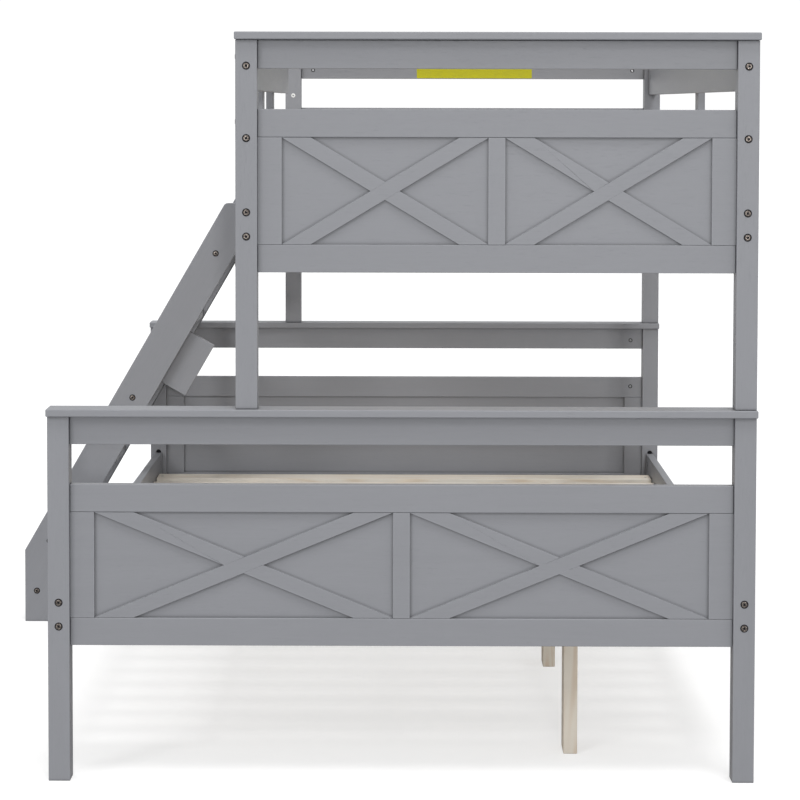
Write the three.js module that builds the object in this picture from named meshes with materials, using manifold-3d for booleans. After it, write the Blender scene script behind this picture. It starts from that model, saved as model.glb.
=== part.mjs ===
// Twin-over-full bunk bed with a sloping ladder, as separate boards that bolt together.
// Millimetres, +Z up. X runs across the bed, with the ladder on the -X side, and Y runs along it,
// with the foot end at -Y and the head end at +Y. The origin is on the floor, under the centre
// of the whole bed's box, ladder included.

import * as THREE from 'three';
import { mergeVertices } from 'three/addons/utils/BufferGeometryUtils.js';
import Module from 'manifold-3d';

const wasm = await Module();
wasm.setup();

// ---- Driving dimensions -------------------------------------------------------------------

const GAP = 0.3;                 // clearance where two boards meet
const LENGTH = 2010;             // over the posts, along Y
const LOWER_WIDTH = 1470;        // over the lower posts, along X
const UPPER_WIDTH = 1079;        // over the upper posts, along X
const RIGHT = 880.5;             // outer faces of the right-hand posts, upper and lower alike
const POST = 45;                 // square posts
const BOARD = 20;                // thickness of rails, guards and stiles
const BOLT_HOLE = 8;             // diameter of the holes for the frame bolts
const PEG_HOLE = { level: 402, diameter: 14, depth: 12 };  // blind holes over the side rails' ends

// The four end frames are alike in height. These levels are counted from an end frame's foot.
const END = {
  bottomRail: [283, 341],
  panelTopRail: [563, 621],
  topRail: [704, 764],
  cap: [764, 780],
};
const MODULE = END.cap[1];
const CAP_OVERHANG = { end: 2, side: 10 };
const STILE = 50;                // width of the stile beside each post
const CENTRE_STILE = 35;
const CROSS_STRIP = 31.5;        // width of the X strips
const FIELD = 6;                 // thickness of the recessed panel board
const STRIP_SETBACK = 1;         // X strips lie this far below the stiles' faces
const TONGUE = 5;                // the panel board runs this far into the rails

const SIDE_RAIL = { height: 110, lower: 290, upper: 1107 };
const CLEAT = { width: 24, height: 25 };
const SLAT = { count: 13, width: 80, thickness: 18, lowerTop: 352, upperTop: 1169, firstY: -829 };
const STRAP = { width: 25, thickness: 1.6, inset: 0.4 };

const GUARD = { top: [1440, 1542], low: [1296, 1386], openingY: 495 };
const UPRIGHT = { width: 56, thickness: 18, bottom: 1150, top: 1526 };

const BEAM = { x: 513, width: 30, height: 52 };
const LEG = { depth: 70, places: [-751, 51, 800] };

const LADDER = {
  slope: THREE.MathUtils.degToRad(30),   // stringers lean this far from upright
  footX: -886,                           // front of the feet
  toe: 196,                              // height of the upright front edge of each foot
  top: 1143,
  board: 92,
  thickness: 22,
  nearY: 527,                            // outer face of the stringer nearer the foot end
  farY: 947,                             // outer face of the stringer nearer the head end
  dado: 6,                               // depth of the tread housings
};
const TREAD = { first: 221, pitch: 196.4, count: 5, depth: 90, thickness: 20 };
const STRETCHER = { x: -854, z: 84, thickness: 20, height: 60 };
const HEAD_RAIL = { bottom: 1092, top: 1137, reach: 140 };
const BRACE = { low: 654, length: 158, proud: 75, lap: 60, lapLength: 108, thickness: 22 };

// Frame bolts, as levels in an end frame. Those along Y hold what runs along the bed, and those
// along X hold the end frame's own rails.
const SIDE_BOLTS = { lower: [325, 375], upper: [358, 408] };
const GUARD_BOLTS = [561, 710];
const END_BOLTS = [300, 595, 729];

// ---- Materials ----------------------------------------------------------------------------

const greyPaint = () => new THREE.MeshStandardMaterial({ color: 0x96979b, roughness: 0.5 });
const pine = () => new THREE.MeshStandardMaterial({ color: 0xd9c7a4, roughness: 0.65 });

// ---- Geometry helpers ---------------------------------------------------------------------

// A box between two corners, given as ranges along X, Y and Z.
function box([x0, x1], [y0, y1], [z0, z1]) {
  const geometry = new THREE.BoxGeometry(x1 - x0, y1 - y0, z1 - z0);
  return geometry.translate((x0 + x1) / 2, (y0 + y1) / 2, (z0 + z1) / 2);
}

// An outline of [x, z] points, drawn anticlockwise as seen from -Y, made solid along Y.
function profile(points, [y0, y1]) {
  const shape = new THREE.Shape(points.map(([x, z]) => new THREE.Vector2(x, z)));
  const geometry = new THREE.ExtrudeGeometry(shape, { depth: y1 - y0, bevelEnabled: false });
  return geometry.rotateX(Math.PI / 2).translate(0, y1, 0);
}

function boreAlongY(x, [y0, y1], z, diameter) {
  const geometry = new THREE.CylinderGeometry(diameter / 2, diameter / 2, y1 - y0, 16);
  return geometry.translate(x, (y0 + y1) / 2, z);
}

function boreAlongX([x0, x1], y, z, diameter) {
  const geometry = new THREE.CylinderGeometry(diameter / 2, diameter / 2, x1 - x0, 16);
  return geometry.rotateZ(Math.PI / 2).translate((x0 + x1) / 2, y, z);
}

function toSolid(geometry) {
  const bare = geometry.clone();
  bare.deleteAttribute('normal');
  bare.deleteAttribute('uv');
  const merged = mergeVertices(bare, 1e-4);
  return new wasm.Manifold(new wasm.Mesh({
    numProp: 3,
    vertProperties: new Float32Array(merged.attributes.position.array),
    triVerts: new Uint32Array(merged.index.array),
  }));
}

function toGeometry(solid) {
  const { vertProperties, triVerts } = solid.getMesh();
  const geometry = new THREE.BufferGeometry();
  geometry.setAttribute('position', new THREE.BufferAttribute(new Float32Array(vertProperties), 3));
  geometry.setIndex(new THREE.BufferAttribute(new Uint32Array(triVerts), 1));
  geometry.computeVertexNormals();
  return geometry;
}

const join = (first, ...others) => toGeometry(
  others.reduce((solid, other) => solid.add(toSolid(other)), toSolid(first)));
const cut = (first, ...others) => toGeometry(
  others.reduce((solid, other) => solid.subtract(toSolid(other)), toSolid(first)));

const bed = new THREE.Group();

function part(name, geometry, material) {
  const mesh = new THREE.Mesh(geometry, material);
  mesh.name = name;
  bed.add(mesh);
}

const shrink = ([low, high], by = GAP) => [low + by, high - by];
const middle = (centre, size) => [centre - size / 2, centre + size / 2];

// ---- End frames ---------------------------------------------------------------------------

// One X strip across a bay. One long edge starts in the bay's lower corner and the other ends in
// the corner diagonally opposite, so the strip fills the bay from rail to rail.
function crossStrip([x0, x1], [z0, z1], depth, rising) {
  const width = x1 - x0;
  const height = z1 - z0;
  let foot = CROSS_STRIP;
  for (let i = 0; i < 20; i++) {
    foot = CROSS_STRIP * Math.hypot(width - foot, height) / height;
  }
  const outline = rising
    ? [[x0, z0], [x0 + foot, z0], [x1, z1], [x1 - foot, z1]]
    : [[x1 - foot, z0], [x1, z0], [x0 + foot, z1], [x0, z1]];
  return profile(outline, depth);
}

// The panel: a thin board with a stile at each end, and a centre stile and two crosses on its
// outer face only. out is -1 at the foot end and +1 at the head end.
function crossPanel([x0, x1], yc, [z0, z1], out) {
  const height = shrink([z0, z1]);
  const board = box([x0, x1], middle(yc, FIELD), [z0 - TONGUE, z1 + TONGUE]);
  const stiles = [
    box([x0, x0 + STILE], middle(yc, BOARD), height),
    box([x1 - STILE, x1], middle(yc, BOARD), height),
  ];
  const centre = (x0 + x1) / 2;
  const outer = (setback) => {
    const face = yc + out * (BOARD / 2 - setback);
    return [Math.min(yc, face), Math.max(yc, face)];
  };
  const centreStile = box(middle(centre, CENTRE_STILE), outer(0), height);
  const bays = [
    [x0 + STILE, centre - CENTRE_STILE / 2],
    [centre + CENTRE_STILE / 2, x1 - STILE],
  ].map((bay) => shrink(bay, -1));          // the strips' corners are let into the stiles
  const strips = bays.flatMap((bay) => [
    crossStrip(bay, height, outer(STRIP_SETBACK), true),
    crossStrip(bay, height, outer(STRIP_SETBACK), false),
  ]);
  return join(board, ...stiles, centreStile, ...strips);
}

function endFrame(name, [left, right], foot, out, sideBolts, guardedSides) {
  const yc = out * (LENGTH / 2 - POST / 2);
  const yPost = middle(yc, POST);
  const level = (range) => range.map((z) => z + foot);
  const start = foot > 0 ? foot + GAP : 0;

  for (const side of ['left', 'right']) {
    const xPost = side === 'left' ? [left, left + POST] : [right - POST, right];
    const xc = (xPost[0] + xPost[1]) / 2;
    const along = guardedSides.includes(side) ? [...sideBolts, ...GUARD_BOLTS] : sideBolts;
    const holes = [
      ...along.map((z) => boreAlongY(xc, [yPost[0] - 5, yPost[1] + 5], z + foot, BOLT_HOLE)),
      ...END_BOLTS.map((z) => boreAlongX([xPost[0] - 5, xPost[1] + 5], yc, z + foot, BOLT_HOLE)),
    ];
    if (foot === 0) {
      const inner = yc - out * POST / 2;
      const mouth = [inner - out * 5, inner + out * PEG_HOLE.depth].sort((a, b) => a - b);
      holes.push(boreAlongY(xc, mouth, PEG_HOLE.level, PEG_HOLE.diameter));
    }
    const post = box(xPost, yPost, [start, foot + END.cap[0] - GAP]);
    part(`${name}_post_${side}`, cut(post, ...holes), greyPaint());
  }

  const xInner = shrink([left + POST, right - POST]);
  const groove = (from, to) => box(
    [xInner[0] - 5, xInner[1] + 5], middle(yc, FIELD + 2 * GAP), [foot + from, foot + to]);
  const rail = (range) => box(xInner, middle(yc, BOARD), level(range));
  const [bottom, panelTop] = [END.bottomRail, END.panelTopRail];
  part(`${name}_bottom_rail`,
    cut(rail(bottom), groove(bottom[1] - TONGUE - GAP, bottom[1] + 5)), greyPaint());
  part(`${name}_panel_top_rail`,
    cut(rail(panelTop), groove(panelTop[0] - 5, panelTop[0] + TONGUE + GAP)), greyPaint());
  part(`${name}_cross_panel`,
    crossPanel(xInner, yc, level([bottom[1], panelTop[0]]), out), greyPaint());
  part(`${name}_top_rail`, rail(shrink(END.topRail)), greyPaint());
  part(`${name}_cap`, box(
    [left - CAP_OVERHANG.end, right + CAP_OVERHANG.end],
    middle(yc, POST + 2 * CAP_OVERHANG.side), level(END.cap)), greyPaint());
}

const LOWER = [RIGHT - LOWER_WIDTH, RIGHT];
const UPPER = [RIGHT - UPPER_WIDTH, RIGHT];
endFrame('lower_foot', LOWER, 0, -1, SIDE_BOLTS.lower, []);
endFrame('lower_head', LOWER, 0, 1, SIDE_BOLTS.lower, []);
endFrame('upper_foot', UPPER, MODULE, -1, SIDE_BOLTS.upper, ['left', 'right']);
endFrame('upper_head', UPPER, MODULE, 1, SIDE_BOLTS.upper, ['right']);

// ---- Side rails, cleats and slats ---------------------------------------------------------

const SETBACK = (POST - BOARD) / 2;                   // side boards sit midway in the posts
const RAIL_Y = shrink([POST - LENGTH / 2, LENGTH / 2 - POST]);

function sideBoardX([left, right], side) {
  return side === 'left'
    ? [left + SETBACK, left + SETBACK + BOARD]
    : [right - SETBACK - BOARD, right - SETBACK];
}

function slatDeck(name, [x0, x1], top) {
  const pitch = -2 * SLAT.firstY / (SLAT.count - 1);
  const bottom = top - SLAT.thickness;
  const slats = Array.from({ length: SLAT.count }, (_, i) => box(
    [x0, x1], middle(SLAT.firstY + i * pitch, SLAT.width), [bottom, top]));
  const reach = -SLAT.firstY + SLAT.width / 2 - 8;
  const straps = [0.2, 0.5, 0.8].map((share) => box(
    middle(x0 + share * (x1 - x0), STRAP.width), [-reach, reach],
    [bottom - STRAP.thickness + STRAP.inset, bottom + STRAP.inset]));
  part(name, join(...slats, ...straps), pine());
}

function berth(name, span, railBottom, slatTop) {
  const cleatTop = slatTop - SLAT.thickness - GAP;
  for (const side of ['left', 'right']) {
    const x = sideBoardX(span, side);
    part(`${name}_side_rail_${side}`,
      box(x, RAIL_Y, [railBottom, railBottom + SIDE_RAIL.height]), greyPaint());
    const cleatX = side === 'left'
      ? [x[1] + GAP, x[1] + CLEAT.width]
      : [x[0] - CLEAT.width, x[0] - GAP];
    part(`${name}_cleat_${side}`,
      box(cleatX, shrink(RAIL_Y, 12), [cleatTop - CLEAT.height, cleatTop]), pine());
  }
  const inner = [sideBoardX(span, 'left')[1], sideBoardX(span, 'right')[0]];
  slatDeck(`${name}_slat_deck`, shrink(inner, 2), slatTop);
}

berth('lower', LOWER, SIDE_RAIL.lower, SLAT.lowerTop);
berth('upper', UPPER, SIDE_RAIL.upper, SLAT.upperTop);

// ---- Centre beam and its legs -------------------------------------------------------------

const BEAM_TOP = SLAT.lowerTop - SLAT.thickness - STRAP.thickness - GAP;
const BEAM_X = middle(BEAM.x, BEAM.width);
part('support_beam', box(BEAM_X, shrink(RAIL_Y, 12), [BEAM_TOP - BEAM.height, BEAM_TOP]), pine());
['foot', 'middle', 'head'].forEach((place, i) => part(`support_leg_${place}`, box(
  BEAM_X, middle(LEG.places[i], LEG.depth), [0, BEAM_TOP - BEAM.height - GAP]), pine()));

// ---- Guards -------------------------------------------------------------------------------

// The ladder side's guard stops short of the head end, which leaves the way in from the ladder.
// Uprights are planted on the outer faces of the guard boards and the side rail.
function guard(side, yRange, uprightPlaces) {
  const x = sideBoardX(UPPER, side);
  part(`guard_${side}_top`, box(x, yRange, GUARD.top), greyPaint());
  part(`guard_${side}_low`, box(x, yRange, GUARD.low), greyPaint());
  const uprightX = side === 'left'
    ? [x[0] - UPRIGHT.thickness, x[0] - GAP]
    : [x[1] + GAP, x[1] + UPRIGHT.thickness];
  uprightPlaces.forEach((y, i) => part(`guard_${side}_upright_${i + 1}`, box(
    uprightX, middle(y, UPRIGHT.width), [UPRIGHT.bottom, UPRIGHT.top]), greyPaint()));
}

guard('right', RAIL_Y, [-20]);
guard('left', [RAIL_Y[0], GUARD.openingY], [-242, 160]);

// ---- Ladder -------------------------------------------------------------------------------

const TAN = Math.tan(LADDER.slope);
const ACROSS = LADDER.board / Math.cos(LADDER.slope);    // a stringer's width measured along X
const frontX = (z) => LADDER.footX + TAN * (z - LADDER.toe);
const centreX = (z) => frontX(z) + ACROSS / 2;
const INNER_Y = [LADDER.nearY + LADDER.thickness, LADDER.farY - LADDER.thickness];

// A stringer: an upright foot, then the sloping board, level at the top with rounded corners.
function stringerOutline() {
  const heelX = LADDER.footX + LADDER.board;
  const heelZ = LADDER.toe + (heelX - LADDER.footX - ACROSS) / TAN;
  const radius = 12;
  const arc = (corner, from, to) => Array.from({ length: 5 }, (_, i) => {
    const angle = THREE.MathUtils.degToRad(from + (to - from) * i / 4);
    return [corner[0] + radius * Math.cos(angle), corner[1] + radius * Math.sin(angle)];
  });
  // Centres of the corner arcs: each lies one radius in from the two edges that it rounds.
  const centreZ = LADDER.top - radius;
  const inset = radius / Math.cos(LADDER.slope);
  const frontCentre = [frontX(centreZ) + inset, centreZ];
  const backCentre = [frontX(centreZ) + ACROSS - inset, centreZ];
  return [
    [LADDER.footX, 0], [heelX, 0], [heelX, heelZ],
    ...arc(backCentre, -30, 90),
    ...arc(frontCentre, 90, 150),
    [LADDER.footX, LADDER.toe],
  ];
}

const treadLevels = Array.from({ length: TREAD.count }, (_, i) => TREAD.first + i * TREAD.pitch);
const treadX = (z) => middle(centreX(z), TREAD.depth);

function stringer(name, [y0, y1], housingY) {
  const housings = treadLevels.map((z) => box(
    shrink(treadX(z), -GAP), housingY, middle(z, TREAD.thickness + 2 * GAP)));
  part(name, cut(profile(stringerOutline(), [y0, y1]), ...housings), greyPaint());
}

stringer('ladder_stringer_near', [LADDER.nearY, INNER_Y[0]],
  [INNER_Y[0] - LADDER.dado, INNER_Y[0] + 5]);
stringer('ladder_stringer_far', [INNER_Y[1], LADDER.farY],
  [INNER_Y[1] - 5, INNER_Y[1] + LADDER.dado]);

const treadY = shrink(INNER_Y, GAP - LADDER.dado);
treadLevels.forEach((z, i) => part(`ladder_tread_${i + 1}`,
  box(treadX(z), treadY, middle(z, TREAD.thickness)), greyPaint()));

part('ladder_stretcher', box(middle(STRETCHER.x, STRETCHER.thickness), shrink(INNER_Y),
  middle(STRETCHER.z, STRETCHER.height)), greyPaint());

// The head rail ties the stringers together at the top and bolts to the upper side rail.
const headX = sideBoardX(UPPER, 'left')[0] - GAP;
part('ladder_head_rail', box([headX - HEAD_RAIL.reach, headX], shrink(INNER_Y),
  [HEAD_RAIL.bottom, HEAD_RAIL.top]), greyPaint());

// A short board on the inner face of the near stringer, in line with its slope, that stands out
// behind the ladder.
function braceOutline() {
  const along = [Math.sin(LADDER.slope), Math.cos(LADDER.slope)];
  const back = [Math.cos(LADDER.slope), -Math.sin(LADDER.slope)];
  const start = [frontX(BRACE.low) + ACROSS, BRACE.low];
  const at = (a, b) => [
    start[0] + a * along[0] + b * back[0],
    start[1] + a * along[1] + b * back[1],
  ];
  return [at(0, -BRACE.lap), at(0, BRACE.proud), at(BRACE.length, BRACE.proud),
    at(BRACE.length, 0), at(BRACE.lapLength, -BRACE.lap)];
}
part('ladder_brace_block', profile(braceOutline(),
  [INNER_Y[0] + GAP, INNER_Y[0] + BRACE.thickness]), greyPaint());

export default bed;
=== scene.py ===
# Bunk bed with ladder: the finishes, fastenings and studio of a painted pine bed.
import math

import bmesh
import bpy
from mathutils import Matrix, Vector


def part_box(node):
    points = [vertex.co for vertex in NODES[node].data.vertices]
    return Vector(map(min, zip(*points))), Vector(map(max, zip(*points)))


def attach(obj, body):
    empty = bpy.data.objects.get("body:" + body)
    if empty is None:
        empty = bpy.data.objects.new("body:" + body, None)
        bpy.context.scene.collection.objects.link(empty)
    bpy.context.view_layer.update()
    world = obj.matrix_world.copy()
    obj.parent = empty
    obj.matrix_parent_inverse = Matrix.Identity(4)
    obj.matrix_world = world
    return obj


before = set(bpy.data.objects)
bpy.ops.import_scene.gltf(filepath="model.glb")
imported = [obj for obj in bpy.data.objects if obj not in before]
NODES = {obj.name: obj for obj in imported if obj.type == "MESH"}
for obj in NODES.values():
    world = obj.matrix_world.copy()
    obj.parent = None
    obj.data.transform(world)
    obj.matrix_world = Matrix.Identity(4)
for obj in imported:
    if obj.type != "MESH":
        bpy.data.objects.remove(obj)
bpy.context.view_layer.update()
MM = 0.001

# ---- Places on the frame -------------------------------------------------------------------

ENDS = ("lower_foot", "lower_head", "upper_foot", "upper_head")
SIDES = ("left", "right")
ACROSS = {"left": -1, "right": 1}              # which way is outwards, along X
ALONG = {"foot": -1, "head": 1}                # and along Y
LOWER_RIGHT_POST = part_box("lower_foot_post_right")
FOOT_FACE = LOWER_RIGHT_POST[0].y              # outer faces of the foot-end posts
RIGHT_FACE = LOWER_RIGHT_POST[1].x             # outer faces of the right-hand posts
UPPER_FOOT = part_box("lower_foot_cap")[1].z     # the upper end frames stand at this height

# Levels of the frame bolts, counted from the foot of the lower or the upper end frames.
SIDE_RAIL_BOLTS = {"lower": (325 * MM, 375 * MM), "upper": (358 * MM, 408 * MM)}
GUARD_BOLTS = {"low": 561 * MM, "top": 710 * MM}
END_RAIL_BOLTS = {"bottom_rail": 300 * MM, "panel_top_rail": 595 * MM, "top_rail": 729 * MM}
NUT_SETBACK = 34 * MM                          # barrel nuts from the end of their board

SLAT_COUNT = 13
LAST_SLAT = 829 * MM                           # centre of the last slat at either end, along Y
SLAT_PITCH = 2 * LAST_SLAT / (SLAT_COUNT - 1)
SLAT_OVER_CLEAT = 0.3 * MM                     # clearance between the slats and their cleats
LADDER_LEAN = math.radians(30)                 # the stringers lean this far from upright


def centre_of(node):
    low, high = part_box(node)
    return (low + high) / 2


def face_towards(way, low, high):
    """The board's face that looks along an axis if way is +1, or against it if way is -1."""
    return high if way > 0 else low


# ---- Shader helpers ------------------------------------------------------------------------

class Value:
    """A shader socket that Python arithmetic works on: each operator adds one Math node."""

    def __init__(self, nodes, socket):
        self.nodes = nodes
        self.socket = socket

    def math(self, operation, *values, clamp=False):
        settings = {"operation": operation, "use_clamp": clamp}
        return self.nodes.add("Math", settings, dict(enumerate(values)))

    def __add__(self, other):
        return self.math("ADD", self, other)

    def __radd__(self, other):
        return self.math("ADD", other, self)

    def __sub__(self, other):
        return self.math("SUBTRACT", self, other)

    def __rsub__(self, other):
        return self.math("SUBTRACT", other, self)

    def __mul__(self, other):
        return self.math("MULTIPLY", self, other)

    def __rmul__(self, other):
        return self.math("MULTIPLY", other, self)

    def __truediv__(self, other):
        return self.math("DIVIDE", self, other)

    def __rtruediv__(self, other):
        return self.math("DIVIDE", other, self)

    def floor(self):
        return self.math("FLOOR", self)

    def sine(self):
        return self.math("SINE", self)

    def power(self, exponent):
        return self.math("POWER", self, exponent)

    def below(self, limit):
        return self.math("LESS_THAN", self, limit)

    def clamp(self):
        return self.math("ADD", self, 0.0, clamp=True)

    def ease(self, start, end):
        """0 at start, 1 at end, smooth between them; start may be above end."""
        return self.nodes.add(
            "MapRange", {"interpolation_type": "SMOOTHSTEP"}, {"Value": self, 1: start, 2: end})


class Nodes:
    """A shader node tree, built node by node."""

    def __init__(self, tree):
        self.tree = tree

    def add(self, kind, settings=None, inputs=None, output=0):
        """Adds a shader node, with its settings first and then its sockets' values or links."""
        node = self.tree.nodes.new("ShaderNode" + kind)
        for key, setting in (settings or {}).items():
            setattr(node, key, setting)
        for key, value in (inputs or {}).items():
            self.feed(node.inputs[key], value)
        return Value(self, node.outputs[output])

    def feed(self, socket, value):
        if isinstance(value, Value):
            self.tree.links.new(value.socket, socket)
        else:
            socket.default_value = value


class Finish(Nodes):
    """One material, built around its Principled shader."""

    def __init__(self, name):
        self.material = bpy.data.materials.new(name)
        self.material.use_nodes = True
        super().__init__(self.material.node_tree)
        self.shader = self.tree.nodes["Principled BSDF"]

    def set(self, **inputs):
        """Sets or links the Principled shader's sockets: base_color means Base Color."""
        for key, value in inputs.items():
            socket = key.replace("_", " ").title().replace("Ior", "IOR")
            self.feed(self.shader.inputs[socket], value)

    def place(self):
        """The point on the piece, in metres in the bed's own frame."""
        return self.add("TexCoord", output=3)

    def split(self, vector):
        return [self.add("SeparateXYZ", inputs={0: vector}, output=i) for i in range(3)]

    def join(self, x, y, z):
        return self.add("CombineXYZ", inputs={0: x, 1: y, 2: z})

    def stretch(self, vector, scale, shift=(0, 0, 0)):
        """vector times scale, plus shift."""
        return self.add("VectorMath", {"operation": "MULTIPLY_ADD"},
                        {0: vector, 1: scale, 2: shift})

    def noise(self, vector, scale, detail=2.0, roughness=0.5, distortion=0.0):
        return self.add("TexNoise", inputs={
            "Vector": vector, "Scale": scale, "Detail": detail,
            "Roughness": roughness, "Distortion": distortion})

    def mix(self, factor, a, b):
        """Mixes two colours."""
        colours = [(*c, 1) if isinstance(c, tuple) else c for c in (a, b)]
        return self.add("Mix", {"data_type": "RGBA"},
                        {0: factor, 6: colours[0], 7: colours[1]}, output=2)

    def shade(self, colour, value):
        """A colour made lighter or darker by a value about 1."""
        return self.add("VectorMath", {"operation": "SCALE"}, {0: colour, "Scale": value})

    def bump(self, height, strength, distance):
        self.set(normal=self.add("Bump", inputs={
            "Strength": strength, "Distance": distance, "Height": height}))


# ---- Painted wood --------------------------------------------------------------------------

GREY = (0.240, 0.244, 0.262)
GRAIN_LENGTH = 1.0 / 14      # how much slower the grain changes along a board than across it
CLOUD_SCALE = 2.2            # soft unevenness of tone over the whole bed
FIGURE_SCALE = 26.0          # broad bands of figure that show through the paint
LINE_SCALE = 210.0           # raised grain lines
PORE_SCALE = 520.0
NAP_SCALE = 900.0            # orange-peel texture of the paint itself
BOARD_SPREAD = 0.015         # difference of tone from board to board
CORNER_REACH = 7 * MM        # painted shade in the inner corners and joints reaches this far
CORNER_SHADE = 0.58
ARRIS_REACH = 3.5 * MM       # a painted highlight, also rubbed paint, on the outer corners reaches this far
ARRIS_RUB_AND_HIGHLIGHT = 0.22
SHADE_SAMPLES = 8
PAINT_RELIEF = 0.35 * MM
PAINT_VARIANTS = 6           # boards with the same grain direction share this many paints
VARIANT_SHIFT = 3.7


def grain_scale(axis):
    return tuple(GRAIN_LENGTH if i == axis else 1.0 for i in range(3))


def paint_layers(finish, grain, seed):
    """Satin paint over pine: a soft board-to-board tone, faint figure and raised grain lines,
    with painted shade in the inner corners and a painted highlight, partly rubbed paint, on the
    outer edges.
    """
    place = finish.place()
    cloud = finish.noise(place, CLOUD_SCALE, detail=3.0)
    figure = finish.noise(grain, FIGURE_SCALE, detail=5.0, roughness=0.62, distortion=0.6)
    lines = finish.noise(grain, LINE_SCALE, detail=3.0, roughness=0.7, distortion=0.2)
    pores = finish.noise(grain, PORE_SCALE, roughness=0.6).ease(0.60, 0.74)
    nap = finish.noise(place, NAP_SCALE)
    board = 1 + BOARD_SPREAD * (((seed * 37) % 11) / 5 - 1)
    # Painted shade: the base colour darkens in inner corners and joints, where shade falls.
    corner = finish.add("AmbientOcclusion", {"samples": SHADE_SAMPLES},
                        {"Distance": CORNER_REACH}, output=1)
    arris = finish.add("AmbientOcclusion", {"samples": SHADE_SAMPLES, "inside": True},
                       {"Distance": ARRIS_REACH}, output=1)
    grained = (board + 0.07 * (cloud - 0.5) + 0.09 * (figure - 0.5)
               + 0.06 * (lines - 0.5) - 0.04 * pores)
    shaded = grained * (1 - CORNER_SHADE + CORNER_SHADE * corner)
    # Painted highlight on the outer edges, which also stands for rubbed paint: the base colour
    # is lighter there.
    rubbed = shaded + ARRIS_RUB_AND_HIGHLIGHT * (1 - arris) * figure.ease(0.3, 0.6)
    finish.set(
        base_color=finish.shade(GREY, rubbed),
        roughness=(0.40 + 0.16 * (figure - 0.3) + 0.10 * (nap - 0.5) + 0.10 * pores).clamp(),
        specular_ior_level=0.45,
    )
    relief = 0.55 * lines + 0.45 * figure - 0.6 * pores + 0.25 * nap
    finish.bump(relief, strength=0.40, distance=PAINT_RELIEF)


_paints = {}


def painted_board(axis, seed):
    """Painted wood with its grain along a board's own length: axis 0, 1 or 2."""
    variant = seed % PAINT_VARIANTS
    if (axis, variant) not in _paints:
        finish = Finish(f"satin_grey_paint_{'xyz'[axis]}{variant}")
        shift = tuple(VARIANT_SHIFT * (variant + 1) * (i + 1) for i in range(3))
        grain = finish.stretch(finish.place(), grain_scale(axis), shift)
        paint_layers(finish, grain, variant)
        _paints[axis, variant] = finish.material
    return _paints[axis, variant]


def painted_slope(angle, seed):
    """Painted wood with its grain along a sloping board: angle is its lean from upright."""
    finish = Finish(f"satin_grey_paint_slope{seed}")
    upright = finish.add("VectorRotate", {"rotation_type": "Y_AXIS"},
                         {"Vector": finish.place(), "Angle": -angle})
    paint_layers(finish, finish.stretch(upright, grain_scale(2), (seed, 2.0, 5.0)), seed)
    return finish.material


# ---- Dressing the frame's boards -----------------------------------------------------------

WELD_DISTANCE = 0.02 * MM
FLAT_ANGLE = math.radians(0.5)     # faces nearer to one plane than this become one face
EDGE_ANGLE = math.radians(40)      # edges sharper than this are eased
EDGE_SEGMENTS = 3
NORMAL_WEIGHT = 100

# How far each kind of board's edges are rounded over.
BOARD_EDGE = 1.6 * MM
STRINGER_EDGE = 1.5 * MM
PANEL_EDGE = 0.7 * MM
CAP_EDGE = 2.5 * MM
CLEAT_EDGE = 1.2 * MM
SLAT_EDGE = 1.0 * MM


def long_axis(node):
    low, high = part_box(node)
    size = high - low
    return max(range(3), key=lambda i: size[i])


def dress(name, material, edge_width, merge_faces=True):
    """Gives a board its finish, and eases its edges as a sander would."""
    node = NODES[name]
    node.data.materials.clear()
    node.data.materials.append(material)
    weld = node.modifiers.new("weld", "WELD")
    weld.merge_threshold = WELD_DISTANCE
    if merge_faces:
        plain = node.modifiers.new("plain_faces", "DECIMATE")
        plain.decimate_type = "DISSOLVE"
        plain.angle_limit = FLAT_ANGLE
    eased = node.modifiers.new("eased_edges", "BEVEL")
    eased.width = edge_width
    eased.segments = EDGE_SEGMENTS
    eased.limit_method = "ANGLE"
    eased.angle_limit = EDGE_ANGLE
    eased.use_clamp_overlap = False
    eased.harden_normals = True
    even = node.modifiers.new("even_faces", "WEIGHTED_NORMAL")
    even.mode = "FACE_AREA"
    even.weight = NORMAL_WEIGHT


def dress_painted_boards():
    """Merged faces would be shaded badly on the cross panels and the ladder's stringers."""
    slope_paint = painted_slope(LADDER_LEAN, 1)
    for count, name in enumerate(sorted(NODES)):
        if "cleat" in name or "slat_deck" in name or name.startswith("support_"):
            continue
        if name == "ladder_brace_block":
            dress(name, slope_paint, BOARD_EDGE)
        elif name.startswith("ladder_stringer"):
            dress(name, slope_paint, STRINGER_EDGE, merge_faces=False)
        elif name.endswith("cross_panel"):
            dress(name, painted_board(0, count), PANEL_EDGE, merge_faces=False)
        elif name.endswith("_cap"):
            dress(name, painted_board(0, count), CAP_EDGE)
        else:
            dress(name, painted_board(long_axis(name), count), BOARD_EDGE)


dress_painted_boards()


# ---- Natural pine --------------------------------------------------------------------------

SLAT_PINE = ((0.86, 0.81, 0.73), (0.72, 0.55, 0.37))       # early wood, late wood
LEG_PINE = ((0.72, 0.66, 0.57), (0.58, 0.43, 0.29))
KNOT_BROWN = (0.20, 0.11, 0.055)
WEBBING = (0.72, 0.71, 0.68)
RING_SCALE = 9.0
RING_COUNT = 70.0            # growth rings over the range of the ring noise
FIBRE_SCALE = 240.0
KNOT_SCALE = 2.6
WEAVE_SCALE = 160.0
PINE_RELIEF = 0.3 * MM


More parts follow.
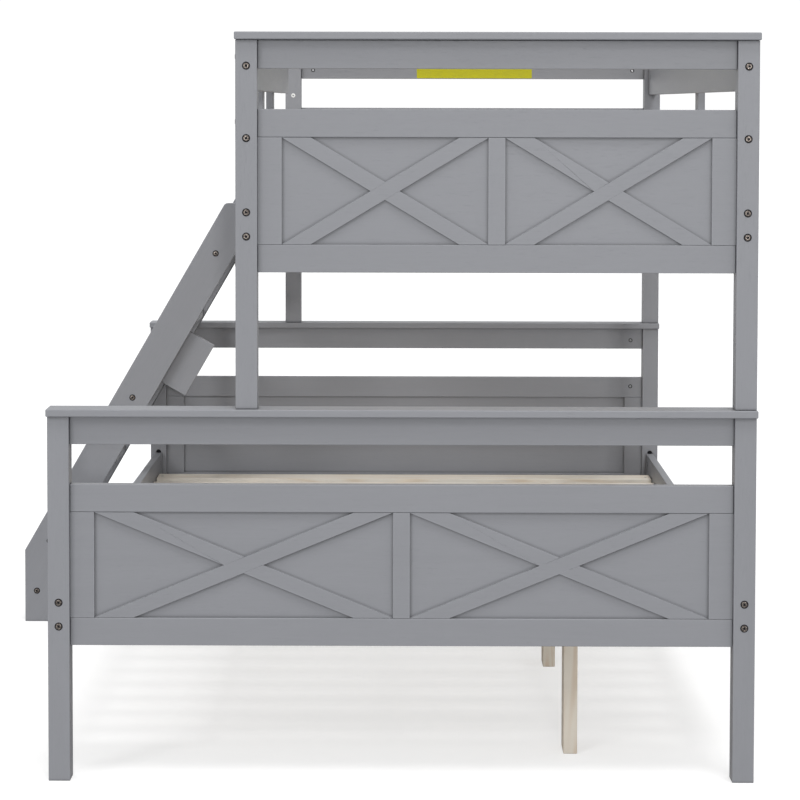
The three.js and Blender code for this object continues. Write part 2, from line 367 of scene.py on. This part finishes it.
def natural_pine(name, axis, numbering, tones, strap_below=None):
    """Planed pine. numbering tells separate boards apart, so that their figures differ."""
    finish = Finish(name)
    place = finish.place()
    x, y, z = finish.split(place)
    number = numbering(x, y)
    grain = finish.stretch(place, grain_scale(axis))
    own = finish.add("VectorMath", {"operation": "ADD"},
                     {0: grain, 1: finish.join(number * 3.1, number * 5.3, number * 1.7)})
    rings = finish.noise(own, RING_SCALE, distortion=0.8)
    late = ((rings * RING_COUNT).sine() * 0.5 + 0.5).power(2.2)
    fibres = finish.noise(own, FIBRE_SCALE, detail=4.0, roughness=0.7)
    knots = finish.add("TexVoronoi", {"feature": "F1"}, {"Vector": own, "Scale": KNOT_SCALE})
    knot = knots.ease(0.055, 0.02)
    tint = finish.noise(finish.join(number * 7.7, number * 2.3, 0.0), 1.0)
    base = finish.mix((0.42 * late + 0.30 * (fibres - 0.4)).clamp(), *tones)
    toned = finish.shade(base, 0.90 + 0.28 * tint)
    wood = finish.mix(0.75 * knot, toned, KNOT_BROWN)
    rough = 0.56 + 0.12 * (fibres - 0.5)
    if strap_below is not None:
        weave = finish.add("TexWave", {"wave_type": "BANDS", "bands_direction": "Y"},
                           {"Vector": place, "Scale": WEAVE_SCALE})
        cloth = finish.shade(WEBBING, 0.72 + 0.35 * weave)
        strap = z.below(strap_below)
        wood = finish.mix(strap, wood, cloth)
        rough = rough + 0.3 * strap
    finish.set(base_color=wood, roughness=rough, specular_ior_level=0.35)
    relief = 0.6 * fibres + 0.25 * late - 0.5 * knot
    finish.bump(relief, strength=0.35, distance=PINE_RELIEF)
    return finish.material


def dress_pine_boards():
    for deck in ("lower", "upper"):
        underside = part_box(f"{deck}_cleat_left")[1].z + SLAT_OVER_CLEAT
        slats = natural_pine(
            f"pine_{deck}_slats", 0, lambda x, y: (y / SLAT_PITCH + 0.5).floor(), SLAT_PINE,
            strap_below=underside - 0.1 * MM)
        dress(f"{deck}_slat_deck", slats, SLAT_EDGE)
        for side in SIDES:
            cleat = natural_pine(
                f"pine_{deck}_cleat_{side}", 1, lambda x, y: x.floor() + 3.0, LEG_PINE)
            dress(f"{deck}_cleat_{side}", cleat, CLEAT_EDGE)
    beam = natural_pine("pine_beam", 1, lambda x, y: x.floor() + 11.0, LEG_PINE)
    dress("support_beam", beam, BOARD_EDGE)
    for place in ("foot", "middle", "head"):
        leg = natural_pine(
            f"pine_leg_{place}", 2, lambda x, y: (y * 1.3).floor() + 20.0, LEG_PINE)
        dress(f"support_leg_{place}", leg, BOARD_EDGE)


dress_pine_boards()


# ---- Metal and nylon -----------------------------------------------------------------------

def antique_bronze(dark, worn):
    finish = Finish("antique_bronze")
    wear = finish.noise(finish.place(), 420.0, detail=4.0, roughness=0.6)
    rubbed = wear.ease(0.46, 0.66)
    finish.set(base_color=finish.mix(rubbed, dark, worn),
               metallic=1.0, roughness=0.36 - 0.12 * rubbed)
    finish.bump(wear, strength=0.25, distance=0.1 * MM)
    return finish.material


def dull_metal(name, colour, rough):
    finish = Finish(name)
    cloud = finish.noise(finish.place(), 380.0, detail=3.0)
    finish.set(base_color=finish.shade(colour, 0.8 + 0.4 * cloud), metallic=1.0,
               roughness=rough + 0.15 * (cloud - 0.5))
    return finish.material


def pale_nylon(colour):
    finish = Finish("pale_nylon")
    cloud = finish.noise(finish.place(), 300.0, detail=3.0)
    finish.set(base_color=finish.shade(colour, 0.85 + 0.3 * cloud),
               roughness=0.40 + 0.2 * (cloud - 0.5))
    return finish.material


BRONZE = antique_bronze((0.095, 0.08, 0.072), (0.52, 0.46, 0.41))
# A near-black metal for painted shade in the holes and round the bolt heads.
SHADE_BLACK = dull_metal("painted_shade_black", (0.03, 0.03, 0.033), 0.55)
ZINC = dull_metal("dull_zinc", (0.40, 0.40, 0.41), 0.38)
PALE_NYLON = pale_nylon((0.80, 0.80, 0.78))


# ---- Fastenings ----------------------------------------------------------------------------

def hexagon(angle, across):
    """Distance from a hexagon's centre to its edge; across is from flat to flat."""
    sixth = math.pi / 3
    return across / 2 / math.cos((angle + sixth / 2) % sixth - sixth / 2)


def slot_shape(angle, half_width, length):
    """Distance from a screwdriver slot's centre to its edge."""
    return min(half_width / max(abs(math.sin(angle)), 1e-6),
               length / max(abs(math.cos(angle)), 1e-6))


def turned(bm, centre, axis, rings, segments=36):
    """Adds a turned piece: rings of (radius or function of the angle, height along axis)."""
    turn = Vector((0, 0, 1)).rotation_difference(Vector(axis)).to_matrix()
    made = []
    for radius, height in rings:
        loop = []
        for i in range(segments):
            angle = 2 * math.pi * i / segments
            r = radius(angle) if callable(radius) else radius
            point = turn @ Vector((r * math.cos(angle), r * math.sin(angle), height))
            loop.append(bm.verts.new(point + Vector(centre)))
        made.append(loop)
    for low, high in zip(made, made[1:]):
        for i in range(segments):
            j = (i + 1) % segments
            bm.faces.new((low[i], low[j], high[j], high[i]))
    bm.faces.new(list(reversed(made[0])))
    bm.faces.new(made[-1])


# Each fastening's rings, from its hidden foot outwards: (radius, height over the wood).
BOLT_HEAD = [
    (6.3 * MM, 0.0), (6.3 * MM, 0.8 * MM), (5.9 * MM, 1.5 * MM), (4.6 * MM, 2.0 * MM),
    (lambda a: hexagon(a, 5.4 * MM), 2.0 * MM), (lambda a: hexagon(a, 5.0 * MM), 1.6 * MM),
    (lambda a: hexagon(a, 5.0 * MM), -1.6 * MM),
]
# Painted shadow: a near-black ring round each bolt head, where the gap round the head lies in
# shade.
BOLT_SHADOW_RING = [(8.4 * MM, -0.3 * MM), (8.4 * MM, 0.2 * MM), (8.0 * MM, 0.4 * MM),
             (6.0 * MM, 0.1 * MM)]
BARREL_NUT = [
    (3.1 * MM, -0.3 * MM), (3.1 * MM, 0.3 * MM), (2.8 * MM, 0.5 * MM),
    (lambda a: slot_shape(a, 0.6 * MM, 2.2 * MM), 0.5 * MM),
    (lambda a: slot_shape(a, 0.5 * MM, 2.1 * MM), -0.2 * MM),
]
# Painted shade: a near-black ring for the dark bore round each barrel nut.
NUT_BORE_SHADE = [(5.6 * MM, -0.3 * MM), (5.6 * MM, 0.15 * MM), (5.3 * MM, 0.25 * MM),
            (3.1 * MM, 0.05 * MM)]
SCREW_HEAD = [
    (3.9 * MM, -0.2 * MM), (3.9 * MM, 0.1 * MM), (3.4 * MM, 0.35 * MM), (1.6 * MM, 0.5 * MM),
    (0.9 * MM, -0.1 * MM),
]
# Painted shade: a near-black cup lining each peg hole, for the dark inside of the hole.
PEG_HOLE_SHADE = [(6.8 * MM, -2.5 * MM), (6.8 * MM, 0.0), (5.0 * MM, 0.0), (4.2 * MM, -2.0 * MM)]
POST_PLUG = [(6.0 * MM, -0.3 * MM), (6.0 * MM, 0.5 * MM), (5.4 * MM, 1.0 * MM),
             (2.6 * MM, 1.1 * MM), (2.2 * MM, -0.2 * MM)]


def link_object(name, data):
    made = bpy.data.objects.new(name, data)
    bpy.context.scene.collection.objects.link(made)
    return made


def make_mesh(name, bm, material):
    mesh = bpy.data.meshes.new(name)
    bm.to_mesh(mesh)
    bm.free()
    mesh.materials.append(material)
    return link_object(name, mesh)


def fasteners(name, places, rings, material):
    """One piece holding all the like fasteners of one board or frame."""
    bm = bmesh.new()
    for centre, axis in places:
        turned(bm, centre, axis, rings)
    bmesh.ops.recalc_face_normals(bm, faces=bm.faces)
    piece = make_mesh(name, bm, material)
    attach(piece, "root")


def bolts_along_bed(end, side):
    """Bolts through a post into the side rail and the guards, each with its barrel nut."""
    level, place = end.split("_")
    foot = UPPER_FOOT if level == "upper" else 0.0
    out, across = ALONG[place], ACROSS[side]
    boards = [(z, f"{level}_side_rail_{side}") for z in SIDE_RAIL_BOLTS[level]]
    if level == "upper" and (side == "right" or place == "foot"):
        boards += [(z, f"guard_{side}_{board}") for board, z in GUARD_BOLTS.items()]
    low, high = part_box(f"{end}_post_{side}")
    outer = face_towards(out, low.y, high.y)
    for z, board in boards:
        b_low, b_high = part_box(board)
        nut_y = face_towards(out, b_low.y, b_high.y) - out * NUT_SETBACK
        inner = face_towards(-across, b_low.x, b_high.x)
        yield ((((low.x + high.x) / 2, outer, foot + z), (0, out, 0)),
               ((inner, nut_y, foot + z), (-across, 0, 0)))


def bolts_across_bed(end, side):
    """Bolts through a post's flank into the end frame's own rails, each with its barrel nut."""
    level, place = end.split("_")
    foot = UPPER_FOOT if level == "upper" else 0.0
    out, across = ALONG[place], ACROSS[side]
    low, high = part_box(f"{end}_post_{side}")
    flank = face_towards(across, low.x, high.x)
    for rail, z in END_RAIL_BOLTS.items():
        r_low, r_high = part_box(f"{end}_{rail}")
        nut_x = face_towards(across, r_low.x, r_high.x) - across * NUT_SETBACK
        inner = face_towards(-out, r_low.y, r_high.y)
        yield (((flank, (low.y + high.y) / 2, foot + z), (across, 0, 0)),
               ((nut_x, inner, foot + z), (0, -out, 0)))


def frame_bolts():
    """Socket bolts through the posts, and the barrel nuts that they pull against."""
    for end in ENDS:
        pairs = [pair for side in SIDES
                 for pair in (*bolts_along_bed(end, side), *bolts_across_bed(end, side))]
        bolts, nuts = zip(*pairs)
        fasteners(f"{end}_bolts", bolts, BOLT_HEAD, BRONZE)
        # near-black rings of painted shadow round the bolt heads
        fasteners(f"{end}_bolt_shadow_rings", bolts, BOLT_SHADOW_RING, SHADE_BLACK)
        fasteners(f"{end}_barrel_nuts", nuts, BARREL_NUT, ZINC)
        # near-black rings of painted shade round the barrel nuts
        fasteners(f"{end}_barrel_nut_bore_shades", nuts, NUT_BORE_SHADE, SHADE_BLACK)


def ladder_bolts():
    bolts = []
    near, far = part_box("ladder_stringer_near")[0].y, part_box("ladder_stringer_far")[1].y
    for board in ("ladder_tread_1", "ladder_tread_3", "ladder_tread_5", "ladder_stretcher"):
        centre = centre_of(board)
        bolts.append(((centre.x, near, centre.z), (0, -1, 0)))
        bolts.append(((centre.x, far, centre.z), (0, 1, 0)))
    fasteners("ladder_bolts", bolts, BOLT_HEAD, BRONZE)
    # near-black rings of painted shadow round the ladder's bolt heads
    fasteners("ladder_bolt_shadow_rings", bolts, BOLT_SHADOW_RING, SHADE_BLACK)


PEG_LEVEL = 402 * MM
PEG_SETBACK = 9 * MM         # the mouths of the painted shade linings lie this deep in the posts' peg holes
PLUG_DROP = 108 * MM         # the plug's centre under the post's top


def post_inserts():
    """Near-black linings that paint shade into the peg holes, and one pale plug in the upper
    left head post.
    """
    sockets = []
    for place, out in ALONG.items():
        for side in SIDES:
            low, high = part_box(f"lower_{place}_post_{side}")
            mouth = face_towards(-out, low.y, high.y) + out * PEG_SETBACK
            sockets.append((((low.x + high.x) / 2, mouth, PEG_LEVEL), (0, -out, 0)))
    fasteners("peg_hole_shades", sockets, PEG_HOLE_SHADE, SHADE_BLACK)
    low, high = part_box("upper_head_post_left")
    plug = ((low.x + high.x) / 2, low.y, high.z - PLUG_DROP)
    fasteners("post_plug", [(plug, (0, -1, 0))], POST_PLUG, PALE_NYLON)


GUARD_SCREW_SHIFT = 14 * MM      # the two screws of a joint stand this far from its centre
SLAT_SCREW_INSET = 13 * MM
CLEAT_SCREW_COUNT = 6
CLEAT_SCREW_PITCH = 340 * MM


def guard_screws():
    """Pairs of screws from the inner faces of the guards and side rails into the uprights."""
    screws = []
    for side in SIDES:
        across = ACROSS[side]
        for upright in [n for n in NODES if n.startswith(f"guard_{side}_upright")]:
            low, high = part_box(upright)
            y = (low.y + high.y) / 2
            for board in (f"guard_{side}_top", f"guard_{side}_low", f"upper_side_rail_{side}"):
                b_low, b_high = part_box(board)
                inner = face_towards(-across, b_low.x, b_high.x)
                level = (max(low.z, b_low.z) + min(high.z, b_high.z)) / 2
                for shift in (-GUARD_SCREW_SHIFT, GUARD_SCREW_SHIFT):
                    screws.append(((inner, y + shift, level + shift), (-across, 0, 0)))
    fasteners("guard_screws", screws, SCREW_HEAD, ZINC)


def slat_screws(deck):
    low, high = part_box(f"{deck}_slat_deck")
    ends = (low.x + SLAT_SCREW_INSET, high.x - SLAT_SCREW_INSET)
    rows = [(i - (SLAT_COUNT - 1) / 2) * SLAT_PITCH for i in range(SLAT_COUNT)]
    screws = [((x, y, high.z), (0, 0, 1)) for y in rows for x in ends]
    fasteners(f"{deck}_slat_screws", screws, SCREW_HEAD, ZINC)


def cleat_screws(deck):
    screws = []
    for side in SIDES:
        low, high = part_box(f"{deck}_cleat_{side}")
        inner = face_towards(-ACROSS[side], low.x, high.x)
        for i in range(CLEAT_SCREW_COUNT):
            y = (i - (CLEAT_SCREW_COUNT - 1) / 2) * CLEAT_SCREW_PITCH
            screws.append(((inner, y, (low.z + high.z) / 2), (-ACROSS[side], 0, 0)))
    fasteners(f"{deck}_cleat_screws", screws, SCREW_HEAD, ZINC)


frame_bolts()
ladder_bolts()
post_inserts()
guard_screws()
for deck in ("lower", "upper"):
    slat_screws(deck)
    cleat_screws(deck)


# ---- Blank sticker -------------------------------------------------------------------------

STICKER_YELLOW = (0.49, 0.46, 0.0)
STICKER_X = (333 * MM, 665 * MM)     # from the rail's left-hand end
STICKER_Z = (2 * MM, 47 * MM)        # from the rail's lower edge
STICKER_RADIUS = 3 * MM
STICKER_PROUD = 0.25 * MM
STICKER_SUNK = 0.1 * MM
CORNER_STEPS = 5


def sticker_outline(low):
    """A rectangle with rounded corners, anticlockwise as seen from -Y."""
    x0, x1 = (low.x + x for x in STICKER_X)
    z0, z1 = (low.z + z for z in STICKER_Z)
    r = STICKER_RADIUS
    outline = []
    for cx, cz, start in ((x1 - r, z0 + r, -90), (x1 - r, z1 - r, 0),
                          (x0 + r, z1 - r, 90), (x0 + r, z0 + r, 180)):
        for i in range(CORNER_STEPS + 1):
            angle = math.radians(start + 90 * i / CORNER_STEPS)
            outline.append((cx + r * math.cos(angle), cz + r * math.sin(angle)))
    return outline


def sticker():
    """A plain yellow sticker on the inner face of the upper head-end top rail."""
    finish = Finish("yellow_sticker")
    cloud = finish.noise(finish.place(), 60.0, detail=3.0)
    finish.set(base_color=finish.shade(STICKER_YELLOW, 0.92 + 0.16 * cloud),
               roughness=0.34 + 0.1 * cloud, specular_ior_level=0.2)
    low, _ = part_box("upper_head_top_rail")
    outline = sticker_outline(low)
    bm = bmesh.new()
    front = [bm.verts.new((x, low.y - STICKER_PROUD, z)) for x, z in outline]
    back = [bm.verts.new((x, low.y + STICKER_SUNK, z)) for x, z in outline]
    bm.faces.new(front)
    bm.faces.new(list(reversed(back)))
    for i in range(len(front)):
        j = (i + 1) % len(front)
        bm.faces.new((front[j], front[i], back[i], back[j]))
    bmesh.ops.recalc_face_normals(bm, faces=bm.faces)
    piece = make_mesh("blank_sticker", bm, finish.material)
    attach(piece, "root")


sticker()


# ---- Camera --------------------------------------------------------------------------------

SENSOR_WIDTH = 36            # millimetres, like the lens
LENS = 107.13
RISE = -0.2305               # the view is shifted by this share of its width
VIEW_DISTANCE = 100
EYE = Vector((RIGHT_FACE - 717 * MM, FOOT_FACE - 4902.4 * MM, 1411.7 * MM))
AIM = ((0.26, "Z"), (-2.682, "X"), (-0.115, "Y"), (90, "X"))     # degrees, applied last to first


def make_camera():
    data = bpy.data.cameras.new("camera")
    data.sensor_width = SENSOR_WIDTH
    data.lens = LENS
    data.shift_y = RISE
    data.clip_end = VIEW_DISTANCE
    pose = Matrix.Translation(EYE)
    for degrees, axis in AIM:
        pose = pose @ Matrix.Rotation(math.radians(degrees), 4, axis)
    camera = link_object("camera", data)
    camera.matrix_world = pose
    bpy.context.scene.camera = camera


# ---- Floor and lights ----------------------------------------------------------------------

FLOOR_GREY = (0.5, 0.5, 0.5, 1)
FLOOR_GLOW = 0.55
FLOOR_RADIUS = 400
WHITE = (1.0, 1.0, 1.0)
ROOM_LIGHT = (0.98, 0.99, 1, 1)
ROOM_STRENGTH = 0.80         # of the light that falls on the bed
BACKDROP_STRENGTH = 1.05     # of what the camera sees behind it


def softbox(name, place, target, size, power):
    data = bpy.data.lights.new(name, "AREA")
    data.shape = "RECTANGLE"
    data.size, data.size_y = size
    data.energy = power
    light = link_object(name, data)
    aim = Vector(target) - Vector(place)
    light.matrix_world = (Matrix.Translation(Vector(place))
                          @ aim.to_track_quat("-Z", "Y").to_matrix().to_4x4())


def soft_sun(name, azimuth, elevation, spread, power):
    """A wide, even light. azimuth is counted from the camera's side towards the right."""
    data = bpy.data.lights.new(name, "SUN")
    data.energy = power
    data.angle = math.radians(spread)
    light = link_object(name, data)
    az, el = math.radians(azimuth), math.radians(elevation)
    source = Vector((math.sin(az) * math.cos(el), -math.cos(az) * math.cos(el), math.sin(el)))
    light.matrix_world = (-source).to_track_quat("-Z", "Y").to_matrix().to_4x4()


def make_floor():
    """A pale floor without an edge: it glows where the camera sees it, so shadows stay faint."""
    finish = Finish("studio_floor")
    seen = finish.add("LightPath")
    finish.set(base_color=FLOOR_GREY, roughness=1.0, specular_ior_level=0.0,
               emission_color=finish.shade(WHITE, FLOOR_GLOW * seen), emission_strength=1.0)
    bm = bmesh.new()
    bmesh.ops.create_circle(bm, cap_ends=True, segments=96, radius=FLOOR_RADIUS)
    floor = make_mesh("floor", bm, finish.material)


def make_world():
    """An even room: white where the camera sees it, and dimmer where it lights the bed."""
    world = bpy.data.worlds.new("studio")
    bpy.context.scene.world = world
    world.use_nodes = True
    room = Nodes(world.node_tree)
    seen = room.add("LightPath")
    backdrop = room.add("Background", inputs={
        "Color": (*WHITE, 1), "Strength": BACKDROP_STRENGTH})
    glow = world.node_tree.nodes["Background"]
    room.feed(glow.inputs["Color"], ROOM_LIGHT)
    room.feed(glow.inputs["Strength"], ROOM_STRENGTH)
    both = room.add("MixShader", inputs={
        0: seen, 1: Value(room, glow.outputs[0]), 2: backdrop})
    room.feed(world.node_tree.nodes["World Output"].inputs["Surface"], both)


def make_studio():
    make_floor()
    make_world()
    bpy.context.scene.view_settings.view_transform = "Standard"
    softbox("flash", place=(1.55, -18.0, 3.13), target=(0.0, 0.0, 0.9), size=(0.47, 0.47),
            power=506)
    soft_sun("overhead", azimuth=20, elevation=72, spread=18, power=1.2)
    soft_sun("left_fill", azimuth=-38, elevation=34, spread=14, power=0.55)


make_camera()
make_studio()
